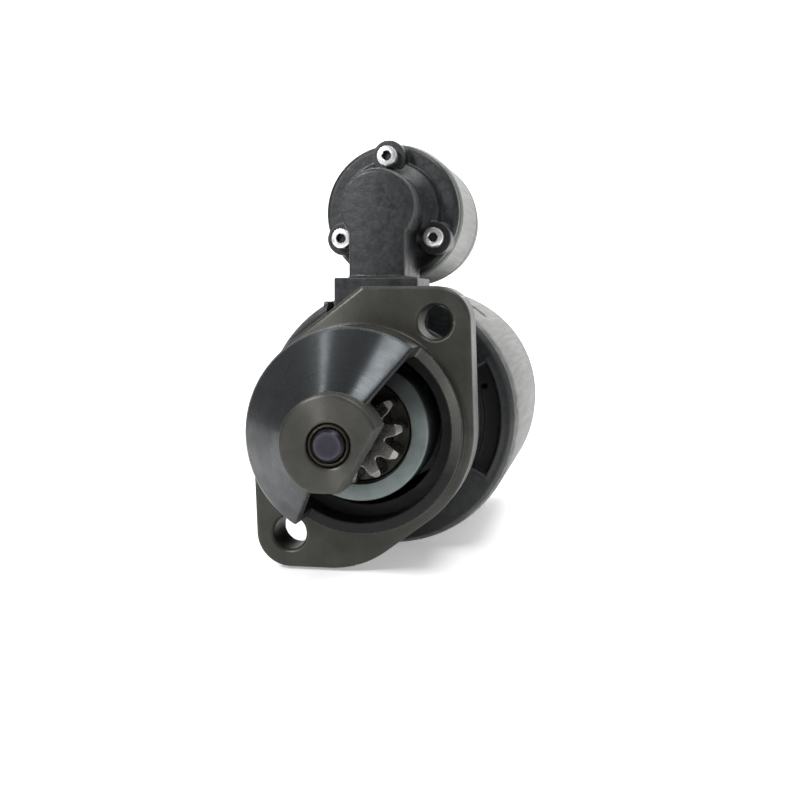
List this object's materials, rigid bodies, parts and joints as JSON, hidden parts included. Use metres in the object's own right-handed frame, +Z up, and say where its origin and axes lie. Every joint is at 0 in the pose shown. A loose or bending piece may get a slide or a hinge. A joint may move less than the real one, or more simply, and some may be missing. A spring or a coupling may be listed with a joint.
{
  "type": "starter motor",
  "caption": "Direct-drive starter motor: round body, nose bracket with a slanted two-hole flange and a side window, and a solenoid on top that throws the pinion forward.",
  "frame": {"origin": "on the shaft axis, in the plane of the mounting flange's front face", "axes": "+Y from the nose towards the motor's rear, along the shaft; +Z up, towards the solenoid; +X completes a right-handed frame"},
  "size_m": [0.115, 0.249, 0.1785],
  "materials": {
    "machined_casting": "machined, dull grey with tool marks",
    "black_casting": "satin black paint on a casting",
    "pale_steel": "matt pale grey coating",
    "zinc_steel": "zinc plated, slightly green",
    "dark_steel": "ground and oiled",
    "bright_steel": "bright zinc",
    "bronze": "sintered bronze",
    "copper": "bare or varnished copper",
    "black_plastic": "moulded phenolic",
    "rubber": "matt black",
    "carbon": "pressed copper and graphite"
  },
  "bodies": {
    "housing": {"drive_end_bracket": "machined_casting", "nose_bush": "bronze", "lever_housing": "black_casting", "lever_pivot_pin": "bright_steel", "centre_bearing_plate": "dark_steel", "yoke_tube": "pale_steel", "commutator_end_cap": "black_casting", "rear_bush": "bronze", "dust_cap": "zinc_steel", "brush_plate": "dark_steel", "solenoid_case": "pale_steel", "solenoid_coil": "copper", "solenoid_core": "dark_steel", "solenoid_cap": "black_plastic", "battery_terminal": "copper", "motor_terminal": "copper", "switch_terminal": "bright_steel", "motor_strap": "copper", "strap_grommet": "rubber", "pole_shoe_1": "dark_steel", "field_coil_1": "copper", "pole_screw_1": "bright_steel", "brush_1": "carbon", "brush_spring_1": "bright_steel", "pole_shoe_2": "dark_steel", "field_coil_2": "copper", "pole_screw_2": "bright_steel", "brush_2": "carbon", "brush_spring_2": "bright_steel", "pole_shoe_3": "dark_steel", "field_coil_3": "copper", "pole_screw_3": "bright_steel", "brush_3": "carbon", "brush_spring_3": "bright_steel", "pole_shoe_4": "dark_steel", "field_coil_4": "copper", "pole_screw_4": "bright_steel", "brush_4": "carbon", "brush_spring_4": "bright_steel", "through_bolt_1": "bright_steel", "dust_cap_screw_1": "bright_steel", "through_bolt_2": "bright_steel", "dust_cap_screw_2": "bright_steel", "solenoid_screw_1": "bright_steel", "solenoid_screw_2": "bright_steel", "solenoid_screw_3": "bright_steel"},
    "armature": {"armature_shaft": "dark_steel", "armature_core": "dark_steel", "commutator": "copper", "stop_ring": "dark_steel"},
    "drive": {"clutch_shell": "dark_steel", "clutch_cover": "zinc_steel", "guide_ring": "dark_steel", "meshing_spring": "bright_steel"},
    "pinion": {"pinion": "dark_steel"},
    "lever": {"shift_lever": "dark_steel"},
    "plunger": {"plunger": "bright_steel", "return_spring": "bright_steel"},
    "contact": {"contact_bridge": "copper"}
  },
  "joints": [
    {"name": "armature_spin", "type": "hinge", "parent": "housing", "child": "armature", "pos_m": [0, 0, 0], "axis": [0, 1, 0], "continuous": true},
    {"name": "drive_slide", "type": "slide", "parent": "armature", "child": "drive", "axis": [0, -1, 0], "range_m": [0, 0.0157]},
    {"name": "pinion_spin", "type": "hinge", "parent": "drive", "child": "pinion", "pos_m": [0, 0, 0], "axis": [0, 1, 0], "continuous": true},
    {"name": "lever_pivot", "type": "hinge", "parent": "housing", "child": "lever", "pos_m": [0, 0.0465, 0.051], "axis": [-1, 0, 0], "range_deg": [0, 17.7]},
    {"name": "plunger_slide", "type": "slide", "parent": "housing", "child": "plunger", "axis": [0, 1, 0], "range_m": [0, 0.012], "stiffness_N_per_m": 1500, "springref_m": -0.02, "deforming": ["return_spring"]},
    {"name": "contact_slide", "type": "slide", "parent": "housing", "child": "contact", "axis": [0, 1, 0], "range_m": [0, 0.0025]}
  ],
  "couplings": [
    {"joint": "drive_slide", "follows": "plunger_slide", "ratio": 1.3077},
    {"joint": "lever_pivot", "follows": "plunger_slide", "rad_per_m": 25.641},
    {"joint": "contact_slide", "follows": "plunger_slide", "ratio": 0.2}
  ]
}
